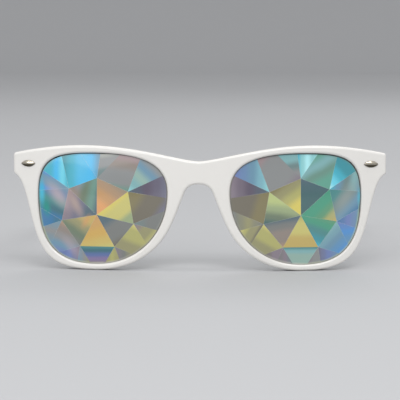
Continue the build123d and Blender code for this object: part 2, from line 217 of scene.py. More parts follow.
def addNode(tree, kind, inputs=None, **settings):
    node = tree.nodes.new(kind)
    for key, value in settings.items():
        setattr(node, key, value)
    for key, value in (inputs or {}).items():
        feed(tree, node.inputs[key], value)
    return node


def finishGroup(tree, made, results):
    for key, result in results.items():
        feed(tree, made[key], result)
    return tree


def mathNode(tree, operation, *terms, clamp=False):
    node = addNode(tree, "ShaderNodeMath", dict(enumerate(terms)), operation=operation, use_clamp=clamp)
    return node.outputs[0]


def product(tree, result, *terms):
    for term in terms:
        result = mathNode(tree, "MULTIPLY", result, term)
    return result


def around(tree, level, pattern, depth):
    # a level that a pattern round 0.5 moves up and down
    return mathNode(tree, "MULTIPLY_ADD", mathNode(tree, "SUBTRACT", pattern, 0.5), depth, level)


def vectorNode(tree, operation, *terms):
    node = addNode(tree, "ShaderNodeVectorMath", dict(enumerate(terms)), operation=operation)
    return node.outputs["Value" if operation in ("LENGTH", "DOT_PRODUCT") else "Vector"]


def objectPlace(tree):
    return addNode(tree, "ShaderNodeTexCoord").outputs["Object"]


def noise(tree, place, **values):
    return addNode(tree, "ShaderNodeTexNoise", {"Vector": place, **values}).outputs["Fac"]


def ramp(tree, value, start, end, kind="SMOOTHSTEP"):
    # 0 at the start and 1 at the end
    limits = {"Value": value, "From Min": start, "From Max": end}
    return addNode(tree, "ShaderNodeMapRange", limits, interpolation_type=kind).outputs[0]


def mixColour(tree, factor, first, second, blend="MIX"):
    node = addNode(tree, "ShaderNodeMix", {"Factor": factor}, data_type="RGBA", blend_type=blend)
    # a mix has sockets of one name for each kind of value
    for name, value in (("A", first), ("B", second)):
        feed(tree, next(s for s in node.inputs if s.name == name and s.type == "RGBA"), value)
    return next(s for s in node.outputs if s.type == "RGBA")


# Shader groups

wear = {
    "specks": (0.74, 0.82),  # noise between which dust shows
    "speckTint": (0.25, 0.24, 0.22, 1),
    "smudges": (0.40, 0.80),  # noise between which a smudge shows
    "raised": (0.995, 0.90),  # cosine between the rounded and the plain normal
    "hollow": (0.85, 0.35),  # openness between which hollows darken with dirt and painted shade
}


def handledSurface():
    # slow drift of tone, fine dust specks and finger smudges on a glossy surface
    tree, given, made = newTree("Shader", "handledSurface", {
        "Colour": ("Color", (0.8, 0.8, 0.8, 1)),
        "Tone Drift": ("Float", 0.03),
        "Speck Depth": ("Float", 0.08),
        "Smooth": ("Float", 0.15),
        "Smudged": ("Float", 0.3),
    }, {"Colour": "Color", "Roughness": "Float", "Height": "Float"})
    place = objectPlace(tree)
    drift = noise(tree, place, Scale=45.0, Detail=3.0)
    specks = noise(tree, place, Scale=1400.0, Detail=1.0)
    smudges = noise(tree, place, Scale=70.0, Detail=2.0, Distortion=0.3)
    ripple = noise(tree, place, Scale=160.0, Detail=2.0)
    toned = mixColour(tree, 1.0, given["Colour"], around(tree, 1.0, drift, given["Tone Drift"]), "MULTIPLY")
    speckShade = product(tree, ramp(tree, specks, *wear["specks"], "LINEAR"), given["Speck Depth"])
    rub = ramp(tree, smudges, *wear["smudges"])
    roughness = addNode(tree, "ShaderNodeMapRange",
                        {"Value": rub, "To Min": given["Smooth"], "To Max": given["Smudged"]})
    return finishGroup(tree, made, {"Colour": mixColour(tree, speckShade, toned, wear["speckTint"]),
                                    "Roughness": roughness.outputs[0], "Height": ripple})


def rubbedEdges():
    # raised edges are rubbed, and hollows and seams are darker: a little dirt and painted shade
    tree, given, made = newTree("Shader", "rubbedEdges", {
        "Colour": ("Color", (0.8, 0.8, 0.8, 1)),
        "Rubbed Colour": ("Color", (1, 1, 1, 1)),
        "Dirt And Shade Colour": ("Color", (0.2, 0.18, 0.15, 1)),
        "Rub": ("Float", 0.5),
        "Rub Reach": ("Float", 0.0004),
        "Dirt": ("Float", 0.3),
        "Dirt Reach": ("Float", 0.001),
    }, {"Colour": "Color"})
    rounded = addNode(tree, "ShaderNodeBevel", {"Radius": given["Rub Reach"]}, samples=4).outputs["Normal"]
    plain = addNode(tree, "ShaderNodeNewGeometry").outputs["Normal"]
    raised = ramp(tree, vectorNode(tree, "DOT_PRODUCT", rounded, plain), *wear["raised"])
    patches = noise(tree, objectPlace(tree), Scale=220.0, Detail=4.0)
    # hollows darken by how shut in they are: dirt and painted shade
    shut = addNode(tree, "ShaderNodeAmbientOcclusion", {"Distance": given["Dirt Reach"]}, samples=6)
    hollow = ramp(tree, shut.outputs["AO"], *wear["hollow"])
    rubbed = mathNode(tree, "MULTIPLY", product(tree, raised, patches), given["Rub"], clamp=True)
    dirtAndShade = mathNode(tree, "MULTIPLY", hollow, given["Dirt"], clamp=True)
    lighter = mixColour(tree, rubbed, given["Colour"], given["Rubbed Colour"])
    return finishGroup(tree, made, {"Colour": mixColour(tree, dirtAndShade, lighter, given["Dirt And Shade Colour"])})


tones = ("first", "second", "third", "fourth", "fifth")


def sweptTint():
    # five tints that follow one another across a facet, with another tint round the lens that holds painted
    # light below and painted shade above
    tree, given, made = newTree("Shader", "sweptTint", {
        "Sweep": ("Float", 0.5),
        "Border": ("Float", 0.0),
        **{tone.capitalize(): ("Color", (0.5, 0.5, 0.5, 1)) for tone in tones},
        "Border Shading": ("Color", (0.5, 0.5, 0.5, 1)),
        "Waver": ("Float", 0.12),
        "Line Depth": ("Float", 0.05),
    }, {"Colour": "Color", "Height": "Float"})
    place = objectPlace(tree)
    wavering = around(tree, given["Sweep"], noise(tree, place, Scale=130.0, Detail=2.0), given["Waver"])
    colour = given["First"]
    steps = len(tones) - 1
    for k, tone in enumerate(tones[1:]):
        step = ramp(tree, wavering, k / steps, (k + 1) / steps)
        colour = mixColour(tree, step, colour, given[tone.capitalize()])
    bands = {"Scale": 520.0, "Distortion": 0.6, "Detail": 1.0, "Vector": place}
    lines = addNode(tree, "ShaderNodeTexWave", bands, bands_direction="DIAGONAL").outputs["Fac"]
    keep = mathNode(tree, "SUBTRACT", 1.0, product(tree, lines, given["Line Depth"]))
    lined = mixColour(tree, 1.0, colour, keep, "MULTIPLY")
    return finishGroup(tree, made, {"Colour": mixColour(tree, given["Border"], lined, given["Border Shading"]),
                                    "Height": lines})


def softGlow():
    # a soft oval of another tint, such as a streak of light that crosses the facets
    tree, given, made = newTree("Shader", "softGlow", {
        "Colour": ("Color", (0.5, 0.5, 0.5, 1)),
        "Place": ("Vector", (0.0, 0.0, 0.0)),
        "Middle": ("Vector", (0.0, 0.0, 0.0)),
        "Turn": ("Float", 0.0),
        "Size": ("Vector", (1.0, 1.0, 1.0)),
        "Tint": ("Color", (1, 1, 1, 1)),
        "Strength": ("Float", 0.5),
    }, {"Colour": "Color"})
    offset = vectorNode(tree, "SUBTRACT", given["Place"], given["Middle"])
    turned = addNode(tree, "ShaderNodeVectorRotate", {"Vector": offset, "Angle": given["Turn"]},
                     rotation_type="Z_AXIS")
    reach = vectorNode(tree, "LENGTH", vectorNode(tree, "DIVIDE", turned.outputs[0], given["Size"]))
    amount = product(tree, ramp(tree, reach, 1.0, 0.0), given["Strength"])
    return finishGroup(tree, made, {"Colour": mixColour(tree, amount, given["Colour"], given["Tint"])})


def brushedGrain():
    # fine parallel scratches of rolled or turned steel
    tree, given, made = newTree("Shader", "brushedGrain", {
        "Colour": ("Color", (0.6, 0.6, 0.6, 1)),
        "Stretch": ("Vector", (60.0, 60.0, 2500.0)),
        "Depth": ("Float", 0.15),
        "Polish": ("Float", 0.25),
    }, {"Colour": "Color", "Roughness": "Float", "Height": "Float"})
    stretched = vectorNode(tree, "MULTIPLY", objectPlace(tree), given["Stretch"])
    grain = noise(tree, stretched, Scale=1.0, Detail=3.0)
    toned = mixColour(tree, 1.0, given["Colour"], around(tree, 1.0, grain, given["Depth"]), "MULTIPLY")
    return finishGroup(tree, made, {"Colour": toned, "Height": grain,
                                    "Roughness": around(tree, given["Polish"], grain, given["Depth"])})


groups = {tree.name: tree
          for tree in (handledSurface(), rubbedEdges(), sweptTint(), softGlow(), brushedGrain())}
print("shader groups made:", ", ".join(groups))


# Materials, with the values of their shader and groups, and their bump's strength and mm

def useGroup(tree, name, inputs):
    return addNode(tree, "ShaderNodeGroup", inputs, node_tree=groups[name]).outputs


def finishShader(tree, shader, colour, roughness, height=None, bump=None):
    feed(tree, shader.inputs["Base Color"], colour)
    feed(tree, shader.inputs["Roughness"], roughness)
    if bump:
        strength, depth = bump
        raised = addNode(tree, "ShaderNodeBump",
                         {"Strength": strength, "Distance": depth * mm, "Height": height})
        feed(tree, shader.inputs["Normal"], raised.outputs["Normal"])


whitePlastic = {
    "fixed": {"Coat Weight": 0.35, "Coat Roughness": 0.05, "IOR": 1.49},
    "surface": {"Colour": linear((0.912, 0.903, 0.885)), "Tone Drift": 0.05, "Speck Depth": 0.10,
                "Smooth": 0.16, "Smudged": 0.30},
    "edges": {"Rubbed Colour": linear((0.93, 0.928, 0.92)), "Dirt And Shade Colour": linear((0.55, 0.53, 0.49)),
              "Rub": 0.6, "Dirt": 0.35},
    "bump": (0.25, 0.02),
}


def makePlastic(name):
    material, tree, shader = newMaterial(name, whitePlastic["fixed"])
    surface = useGroup(tree, "handledSurface", whitePlastic["surface"])
    edges = useGroup(tree, "rubbedEdges", {**whitePlastic["edges"], "Colour": surface["Colour"]})
    finishShader(tree, shader, edges["Colour"], surface["Roughness"], surface["Height"], whitePlastic["bump"])
    return material


# Streaks and spots of light on each lens: middle across and up in mm from the middle of the
# opening, direction in degrees, half length and half width in mm, tint and strength
glows = {
    "right_lens": (
        (-17.7, 5.2, -50, 10.0, 4.2, (0.74, 0.68, 0.70), 0.80),
        (-10.8, 1.9, -62, 9.0, 2.8, (0.72, 0.64, 0.60), 0.75),
        (-22.4, 0.4, -80, 5.5, 2.6, (0.08, 0.60, 0.54), 0.80),
        (-24.2, 6.0, 90, 8.0, 1.9, (0.25, 0.74, 0.86), 0.85),
        (-12.6, -15.0, -48, 8.0, 3.0, (0.72, 0.65, 0.68), 0.55),
        (-6.5, -5.0, 60, 4.5, 2.0, (0.84, 0.62, 0.42), 0.60),
        (-8.4, 18.5, 86, 14.0, 4.6, (0.40, 0.77, 0.90), 0.70),
    ),
    "left_lens": (
        (19.6, 4.2, 59, 12.0, 4.4, (0.60, 0.64, 0.63), 0.68),
        (25.0, 4.5, 90, 5.0, 1.2, (0.28, 0.72, 0.82), 0.70),
    ),
}


def lensTint(tree, tint, spots):
    # the tints that the facets carry, with the streaks of light over them
    read = {name: addNode(tree, "ShaderNodeAttribute", attribute_name=name).outputs
            for name in ("sweep", "border", "borderShading", "lensPlace", *tones)}
    swept = useGroup(tree, "sweptTint", {
        **tint, "Sweep": read["sweep"]["Fac"], "Border": read["border"]["Fac"],
        "Border Shading": read["borderShading"]["Color"],
        **{tone.capitalize(): read[tone]["Color"] for tone in tones}})
    colour = swept["Colour"]
    for across, up, turn, length, width, shade, strength in spots:
        colour = useGroup(tree, "softGlow", {
            "Colour": colour, "Place": read["lensPlace"]["Vector"], "Middle": (across, up, 0),
            "Turn": -math.radians(turn), "Size": (length, width, 1), "Tint": linear(shade),
            "Strength": strength})["Colour"]
    return colour, swept["Height"]


acrylic = {
    "fixed": {"IOR": 1.49, "Coat Weight": 0.5, "Coat Roughness": 0.03},
    "tint": {"Waver": 0.10, "Line Depth": 0.025},
    "surface": {"Tone Drift": 0.04, "Speck Depth": 0.03, "Smooth": 0.10, "Smudged": 0.22},
    "bump": (0.05, 0.02),
}


def makeAcrylic(node):
    material, tree, shader = newMaterial(node.split("_")[0] + "FacetedAcrylic", acrylic["fixed"])
    colour, lines = lensTint(tree, acrylic["tint"], glows[node])
    surface = useGroup(tree, "handledSurface", {**acrylic["surface"], "Colour": colour})
    finishShader(tree, shader, surface["Colour"], surface["Roughness"], lines, acrylic["bump"])
    return material


film = {
    "fixed": {"IOR": 1.5, "Coat Weight": 0.8, "Coat Roughness": 0.04, "Metallic": 0.15},
    "tint": {"Waver": 0.10, "Line Depth": 0.03},
    "surface": {"Tone Drift": 0.06, "Speck Depth": 0.04, "Smooth": 0.14, "Smudged": 0.30},
    "bump": (0.15, 0.02),
    "milk": (0.80, 0.82, 0.84),
    "milkiness": 0.38,  # share of the milky tint
}


def makeFilm(node):
    material, tree, shader = newMaterial(node.split("_")[0] + "GratingFilm", film["fixed"])
    colour = lensTint(tree, film["tint"], glows[node])[0]
    milky = mixColour(tree, film["milkiness"], colour, linear(film["milk"]))
    surface = useGroup(tree, "handledSurface", {**film["surface"], "Colour": milky})
    finishShader(tree, shader, surface["Colour"], surface["Roughness"], surface["Height"], film["bump"])
    return material


steel = {  # tint, fineness of the grain along x, y and z, its depth, roughness
    "leaf": (linear((0.66, 0.655, 0.64)), (60.0, 60.0, 2600.0), 0.22, 0.30),
    "screw": (linear((0.60, 0.595, 0.585)), (2200.0, 300.0, 300.0), 0.25, 0.24),
    "rivet": (linear((0.76, 0.74, 0.70)), (300.0, 300.0, 1500.0), 0.06, 0.12),
    "plaque": (linear((0.80, 0.77, 0.71)), (300.0, 300.0, 1500.0), 0.06, 0.17),
}
steelWearAndShade = {
    # hollows and the seat round the plaque darken strongly: dirt and painted shade
    "edges": {"Rubbed Colour": linear((0.9, 0.9, 0.88)), "Dirt And Shade Colour": linear((0.3, 0.28, 0.24)),
              "Rub": 0.5, "Dirt": 0.85, "Dirt Reach": 0.0006},
    "bump": (0.15, 0.01),
    "under": (0.06, -0.24),  # the plaque is painted darker where its surface faces down: a painted reflection
    "paintedReflection": (0.34, 0.32, 0.27),
}


def makeSteel(name):
    material, tree, shader = newMaterial(name + "Steel", {"Metallic": 1.0})
    tint, stretch, depth, polish = steel[name]
    # painted reflection: the plaque is darker where its surface faces down
    if name == "plaque":
        normal = addNode(tree, "ShaderNodeNewGeometry").outputs["Normal"]
        facing = addNode(tree, "ShaderNodeSeparateXYZ", {0: normal}).outputs["Z"]
        under = ramp(tree, facing, *steelWearAndShade["under"])
        tint = mixColour(tree, under, tint, linear(steelWearAndShade["paintedReflection"]))
    grain = useGroup(tree, "brushedGrain",
                     {"Colour": tint, "Stretch": stretch, "Depth": depth, "Polish": polish})
    edges = useGroup(tree, "rubbedEdges", {**steelWearAndShade["edges"], "Colour": grain["Colour"]})
    finishShader(tree, shader, edges["Colour"], grain["Roughness"], grain["Height"], steelWearAndShade["bump"])
    return material


frontPlastic = makePlastic("frontPlastic")
templePlastic = makePlastic("templePlastic")
lensMaterials = {node: (makeAcrylic(node), makeFilm(node)) for node in glows}
steels = {name: makeSteel(name) for name in steel}
print("materials made")


# Pieces that keep the shape of their node, with closed seams, smooth shading and broken edges

mending = {
    "weld": 0.001,  # mm
    "flat": 0.2,  # degrees within which faces count as one
    "broken": 35.0,  # degrees from which an edge is broken
    "steps": 2,  # across a broken edge
    "weight": 50,  # of large faces in the shading
}
finish = {  # with sharp edges above so many degrees, or with edges broken by so many mm
    "front_frame": {"material": frontPlastic, "sharp": 40.0},
    "temple": {"material": templePlastic, "sharp": 40.0},
    "front_hinge_leaf": {"material": steels["leaf"], "broken": 0.07},
    "temple_hinge_leaf": {"material": steels["leaf"], "broken": 0.07},
    "hinge_screw": {"material": steels["screw"], "broken": 0.05},
    "front_rivet": {"material": steels["plaque"], "broken": 0.05},
}


def weldedCopy(node, flat=None):
    bm = bmesh.new()
    bm.from_mesh(nodes[node].data)
    bmesh.ops.remove_doubles(bm, verts=bm.verts, dist=mending["weld"] * mm)
    if flat:
        bmesh.ops.dissolve_limit(bm, angle_limit=math.radians(flat), verts=bm.verts, edges=bm.edges)
    return bm


def pieceName(node):
    words = node.split("_")
    return words[0] + "".join(word.capitalize() for word in words[1:])


def placePiece(mesh, name, node, material):
    mesh.name = name
    mesh.materials.clear()
    mesh.materials.append(material)
    piece = newObject(name, mesh)
    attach(piece, bodyOf[node])
    return piece


def standFor(node, mesh, material):
    piece = placePiece(mesh, pieceName(node), node, material)
    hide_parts(node)


def addModifier(holder, kind, **settings):
    modifier = holder.modifiers.new(kind.lower(), kind)
    for key, value in settings.items():
        setattr(modifier, key, value)
    return modifier


def plainMesh(holder):
    graph = bpy.context.evaluated_depsgraph_get()
    mesh = bpy.data.meshes.new_from_object(holder.evaluated_get(graph))
    bpy.data.objects.remove(holder)
    return mesh


def faceNormals(mesh):
    # the front's face and back are true cylinders and are shaded as such
    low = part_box("front_frame")[0]
    wrap = front["wrap"] * mm
    normals = [Vector(corner.vector) for corner in mesh.corner_normals]
    for polygon in mesh.polygons:
        for k in polygon.loop_indices:
            place = mesh.vertices[mesh.loops[k].vertex_index].co
            outwards = Vector((place.x, place.y - low.y - wrap, 0))
            for radius, way in ((wrap, 1), (wrap - front["thickness"] * mm, -1)):
                normal = outwards.normalized() * way
                onFace = abs(outwards.length - radius) < front["onFace"] * mm
                if onFace and polygon.normal.dot(normal) > front["along"]:
                    normals[k] = normal
    mesh.normals_split_custom_set(normals)


def dressNode(node, look):
    bm = weldedCopy(node, mending["flat"] if "broken" in look else None)
    for face in bm.faces:
        face.smooth = True
    holder = newObject("holder", toMesh(bm, "holder"))
    if "broken" in look:
        addModifier(holder, "BEVEL", width=look["broken"] * mm, segments=mending["steps"],
                    limit_method="ANGLE", angle_limit=math.radians(mending["broken"]), use_clamp_overlap=True)
    else:
        holder.data.set_sharp_from_angle(angle=math.radians(look["sharp"]))
    addModifier(holder, "WEIGHTED_NORMAL", keep_sharp=True, weight=mending["weight"])
    mesh = plainMesh(holder)
    if node == "front_frame":
        faceNormals(mesh)
    standFor(node, mesh, look["material"])


# Lenses

tints = {
    "skyBlue": (0.33, 0.75, 0.94),
    "azure": (0.35, 0.59, 0.83),
    "deepAzure": (0.24, 0.48, 0.66),
    "iceBlue": (0.46, 0.84, 0.92),
    "glint": (0.72, 0.95, 0.97),
    "aqua": (0.59, 0.83, 0.84),
    "paleAqua": (0.53, 0.71, 0.72),
    "cyan": (0.32, 0.71, 0.79),
    "lagoon": (0.29, 0.60, 0.65),
    "seaGreen": (0.32, 0.63, 0.52),
    "leafGreen": (0.40, 0.62, 0.49),
    "mint": (0.42, 0.66, 0.59),
    "teal": (0.33, 0.56, 0.56),
    "darkTeal": (0.27, 0.45, 0.50),
    "bottle": (0.30, 0.43, 0.44),
    "sage": (0.45, 0.60, 0.55),
    "steelBlue": (0.45, 0.60, 0.69),
    "denim": (0.31, 0.50, 0.66),
    "slate": (0.36, 0.44, 0.48),
    "cobalt": (0.38, 0.46, 0.66),
    "periwinkle": (0.46, 0.53, 0.73),
    "violet": (0.53, 0.48, 0.64),
    "plum": (0.40, 0.37, 0.43),
    "dusk": (0.47, 0.47, 0.54),
    "mauve": (0.55, 0.51, 0.55),
    "blush": (0.64, 0.55, 0.56),
    "ash": (0.50, 0.51, 0.50),
    "pearl": (0.70, 0.71, 0.68),
    "seaMist": (0.60, 0.72, 0.68),
    "fog": (0.57, 0.58, 0.58),
    "seaGrey": (0.46, 0.55, 0.55),
    "taupe": (0.58, 0.54, 0.51),
    "tan": (0.62, 0.57, 0.50),
    "peach": (0.70, 0.59, 0.48),
    "apricot": (0.79, 0.62, 0.44),
    "orange": (0.90, 0.66, 0.44),
    "amber": (0.83, 0.68, 0.38),
    "gold": (0.78, 0.69, 0.42),
    "straw": (0.81, 0.78, 0.48),
    "lemon": (0.87, 0.81, 0.42),
    "lime": (0.74, 0.79, 0.54),
    "pear": (0.71, 0.70, 0.45),
    "celery": (0.62, 0.68, 0.52),
    "khaki": (0.61, 0.60, 0.45),
    "olive": (0.53, 0.50, 0.37),
    "moss": (0.45, 0.51, 0.43),
    "umber": (0.47, 0.45, 0.40),
}
corners = ("top", "upperOuter", "lowerOuter", "bottomOuter", "bottomInner", "lowerInner", "upperInner")
# For each facet: the direction in which its tints follow one another, in degrees from the
# camera's right, and three or five tints. A facet is named by its ring and the corner where it
# starts. One that names another facet carries that facet's tints on.
sweeps = {
    "right_lens": {
        "table top": (-10, "taupe", "taupe", "moss", "sage", "slate"),
        "table upperOuter": (-25, "blush", "mauve", "dusk", "slate", "slate"),
        "table lowerOuter": (235, "amber", "gold", "khaki", "moss", "ash"),
        "table bottomOuter": (-75, "apricot", "amber", "straw"),
        "table bottomInner": (-60, "slate", "slate", "ash", "ash", "umber"),
        "table lowerInner": (-50, "lemon", "straw", "straw", "celery", "celery"),
        "table upperInner": (235, "tan", "peach", "apricot", "orange", "orange"),
        "outer top": (0, "lagoon", "cyan", "skyBlue", "skyBlue", "steelBlue"),
        "outer upperOuter": (250, "steelBlue", "denim", "teal", "darkTeal", "deepAzure"),
        "outer lowerOuter": (250, "peach", "taupe", "fog", "steelBlue", "periwinkle"),
        "outer bottomOuter": (270, "teal", "darkTeal", "cobalt", "violet", "mauve"),
        "outer bottomInner": (250, "straw", "pear", "pear", "khaki", "khaki"),
        "outer lowerInner": (-35, "olive", "olive", "umber", "umber", "dusk"),
        "outer upperInner": (262, "blush", "taupe", "fog", "fog", "sage"),
        "fanAfter top": "outer top",
        "fanBefore top": (-80, "pearl", "fog", "fog", "seaGrey", "seaGrey"),
        "fanBefore upperOuter": (0, "cyan", "cyan", "skyBlue", "iceBlue", "cyan"),
        "fanAfter upperOuter": (250, "azure", "steelBlue", "steelBlue", "azure", "azure"),
        "fanBefore lowerOuter": (0, "denim", "deepAzure", "darkTeal"),
        "fanAfter lowerOuter": (260, "steelBlue", "fog", "steelBlue"),
        "fanBefore bottomOuter": (0, "cobalt", "periwinkle", "mauve"),
        "fanAfter bottomOuter": (0, "steelBlue", "fog", "khaki"),
        "fanBefore bottomInner": (0, "khaki", "pear", "khaki"),
        "fanAfter bottomInner": (0, "mauve", "ash", "khaki"),
        "fanBefore lowerInner": (-40, "mauve", "taupe", "khaki", "khaki", "pear"),
        "fanAfter lowerInner": (0, "seaGrey", "ash", "ash"),
        "fanBefore upperInner": (0, "slate", "plum", "dusk"),
        "fanAfter upperInner": (225, "fog", "steelBlue", "seaMist", "paleAqua", "aqua"),
    },
    "left_lens": {
        "table top": (270, "slate", "bottle", "bottle"),
        "table upperOuter": (-48, "seaGreen", "seaGreen", "leafGreen", "pear", "gold"),
        "table lowerOuter": (250, "leafGreen", "seaGreen", "teal", "lagoon", "cyan"),
        "table bottomOuter": (270, "pear", "straw", "straw", "gold", "gold"),
        "table bottomInner": (-80, "slate", "ash", "taupe", "taupe", "peach"),
        "table lowerInner": (262, "lime", "lime", "celery", "moss", "bottle"),
        "table upperInner": (-52, "olive", "khaki", "pear", "lemon", "lemon"),
        "outer top": (-60, "mint", "paleAqua", "sage", "mint", "mint"),
        "outer upperOuter": (-45, "teal", "teal", "seaGrey", "steelBlue", "denim"),
        "outer lowerOuter": (-45, "paleAqua", "steelBlue", "azure"),
        "outer bottomOuter": (270, "teal", "paleAqua", "seaMist", "seaMist", "seaMist"),
        "outer bottomInner": (240, "straw", "pear", "pear", "khaki", "khaki"),
        "outer lowerInner": (-20, "umber", "umber", "umber", "olive", "olive"),
        "outer upperInner": (-40, "blush", "fog", "fog", "fog", "mauve"),
        "fanAfter top": (0, "cyan", "aqua", "glint", "aqua", "aqua"),
        "fanBefore top": (-80, "paleAqua", "paleAqua", "seaGrey", "fog", "mauve"),
        "fanBefore upperOuter": (225, "lagoon", "lagoon", "cyan", "iceBlue", "glint"),
        "fanAfter upperOuter": (-10, "cyan", "steelBlue", "seaGrey", "paleAqua", "steelBlue"),
        "fanBefore lowerOuter": (0, "denim", "periwinkle", "steelBlue"),
        "fanAfter lowerOuter": (-80, "periwinkle", "azure", "steelBlue"),
        "fanBefore bottomOuter": (0, "dusk", "periwinkle", "steelBlue"),
        "fanAfter bottomOuter": (0, "mauve", "fog", "fog"),
        "fanBefore bottomInner": (0, "ash", "mauve", "seaGrey"),
        "fanAfter bottomInner": (0, "umber", "mauve", "mauve"),
        "fanBefore lowerInner": (-30, "straw", "pear", "khaki", "khaki", "umber"),
        "fanAfter lowerInner": (0, "ash", "khaki", "ash"),
        "fanBefore upperInner": (0, "mauve", "plum", "slate"),
        "fanAfter upperInner": (0, "periwinkle", "steelBlue", "aqua"),
    },
}
lens = {
    "flat": 0.3,  # degrees within which faces count as one
    "lean": (0.9, 0.99995),  # cosines to the back between which a face is a facet
    "leastFacet": 2.0,  # square mm
    "beforeTop": 20.0,  # degrees before straight up from which the corners are counted
    "sharp": 15.0,  # degrees
    "borderWidth": 0.8,  # mm
    # the band round the facets is painted: painted light below, beside the nose and as a lime fringe at the
    # outer side, painted shade above
    "borderLightAndShade": {"low": (0.80, 0.79, 0.76), "outer": (0.72, 0.80, 0.50), "high": (0.30, 0.36, 0.38),
                    "nose": (0.62, 0.62, 0.58)},
    "borderStrength": {"low": 0.85, "outer": 0.45, "high": 0.15, "nose": 0.20},
    "borderPower": 0.7,  # below 1, the painted light below and the painted shade above reach further round
    # the flange, the wall and the back carry painted light below and painted shade above
    "wallLightAndShade": {"low": (0.86, 0.85, 0.82), "high": (0.30, 0.31, 0.32)},  # the flange, the wall and the back
    "wallRise": 1.6,  # the painted shade above is full at 1 / 1.6 of the height
    "rest": 0.3,  # mm by which the gap round the facets closes at the rim
    "restPower": 0.5,  # below 1, it stays nearly closed further round
    "filmThickness": 0.25,  # mm
    "filmScale": 1.004,  # the film reaches a little further than the facets
}


def nameFacets(bm, side):
    # the lens's own axes: across towards the temple, up, and out of the face
    back = max(bm.faces, key=lambda f: f.calc_area())
    out = -back.normal
    across = Vector((0, 0, 1)).cross(out).normalized()
    across = across if across.x * side > 0 else -across
    least, most = lens["lean"]
    facets = [f for f in bm.faces
              if least < f.normal.dot(out) < most and f.calc_area() > lens["leastFacet"] * mm * mm]
    uses = {}
    for facet in facets:
        for vert in facet.verts:
            uses.setdefault(vert, []).append(facet)
    middle = max(uses, key=lambda v: len(uses[v]))
    table = uses[middle]

    def turn(vert):
        way = vert.co - middle.co
        return (math.degrees(math.atan2(way.dot(across), way.z)) + lens["beforeTop"]) % 360

    ordered = sorted({v for facet in table for v in facet.verts if v is not middle}, key=turn)
    names = {}
    for facet in table:
        ends = sorted(ordered.index(v) for v in facet.verts if v is not middle)
        start = ends[0] if ends[1] - ends[0] == 1 else ends[1]
        names[facet] = "table " + corners[start]
        edge = next(e for e in facet.edges if middle not in e.verts)
        outer = next(f for f in edge.link_faces if f is not facet)
        names[outer] = "outer " + corners[start]
    outers = {f: corners.index(name.split()[1]) for f, name in names.items() if name.startswith("outer")}
    for k, vert in enumerate(ordered):
        for facet in uses[vert]:
            if facet in names:
                continue
            beside = {outers[f] for e in facet.edges if vert in e.verts for f in e.link_faces if f in outers}
            names[facet] = ("fanAfter " if k in beside else "fanBefore ") + corners[k]
    return names, out


def facetedCopy(node):
    bm = weldedCopy(node, lens["flat"])
    return bm, *nameFacets(bm, sideOf(node))


def blendTint(first, second, share):
    return tuple(a + (b - a) * share for a, b in zip(first, second))


def spreadTones(chosen):
    # three tints stand at the start, middle and end of a facet, five at its quarters
    if len(chosen) == len(tones):
        return chosen
    first, second, third = chosen
    return (first, blendTint(first, second, 0.5), second, blendTint(second, third, 0.5), third)


def spreadFacets(node, names):
    # for each facet's name: the direction of its tints, where they start and end, and the tints
    rows, spreads = sweeps[node], {}
    for name in names.values():
        leader = rows[name] if isinstance(rows[name], str) else name
        turned, *chosen = rows[leader]
        way = Vector((math.cos(math.radians(turned)), 0, math.sin(math.radians(turned))))
        shared = [face for face, other in names.items() if leader in (other, rows[other])]
        reach = [vert.co.dot(way) for face in shared for vert in face.verts]
        tinted = [linear(tint) for tint in spreadTones([tints[tint] for tint in chosen])]
        spreads[name] = way, min(reach), max(reach), tinted
    return spreads


def restOnRim(names, out, middle, side):
    # the lens sits against the rim below and beside the nose, and keeps its gap above
    verts = {vert for face in names for vert in face.verts}
    wall = {face for vert in verts for face in vert.link_faces if face not in names}
    for vert in {vert for face in wall for vert in face.verts}:
        offset = vert.co - middle
        offset -= out * offset.dot(out)
        way = offset.normalized()
        vert.co += way * lens["rest"] * mm * max(0, -way.z, -way.x * side) ** lens["restPower"]


def followEdges(ring, inner):
    # where two facets meet, the inner side of the border stays on their common edge
    for edge in {edge for face in ring for edge in face.edges}:
        ends = [vert for vert in edge.verts if vert in inner]
        if len(ends) != 1 or not all(face in ring for face in edge.link_faces):
            continue
        innerEnd, outerEnd = ends[0], edge.other_vert(ends[0])
        common = [e for e in innerEnd.link_edges if not any(face in ring for face in e.link_faces)]
        if common:
            way = (common[0].other_vert(innerEnd).co - outerEnd.co).normalized()
            innerEnd.co = outerEnd.co + way * (innerEnd.co - outerEnd.co).dot(way)


def cutBorder(bm, names):
    # a narrow ring round the lens, whose faces take the name of the facet beside them
    facets = list(names)
    ring = bmesh.ops.inset_region(bm, faces=facets, thickness=lens["borderWidth"] * mm, use_boundary=True,
                                  use_even_offset=True)["faces"]
    inner = {vert for face in facets for vert in face.verts}
    followEdges(set(ring), inner)
    for face in ring:
        beside = [f for edge in face.edges for f in edge.link_faces if f in names and f not in ring]
        names[face] = names[max(beside, key=lambda f: f.normal.dot(face.normal))]
    return inner


def paintBorderLightAndShade(way, side):
    # the border's painted light and shade, and its strength, by the way from the middle of the lens
    power = lens["borderPower"]
    weight = {"low": max(0, -way.z) ** power, "high": max(0, way.z) ** power,
              "outer": max(0, way.x * side), "nose": max(0, -way.x * side)}
    total = sum(weight.values())
    tint = [sum(weight[k] * lens["borderLightAndShade"][k][c] for k in weight) / total for c in range(3)]
    return linear(tint), sum(weight[k] * lens["borderStrength"][k] for k in weight) / total


def paintWallLightAndShade(height, noseward):
    # the wall is painted pale below and beside the nose, as painted light, and dark above, as painted shade
    share = min(1, height * lens["wallRise"]) * (1 - noseward)
    return linear(blendTint(lens["wallLightAndShade"]["low"], lens["wallLightAndShade"]["high"], share))


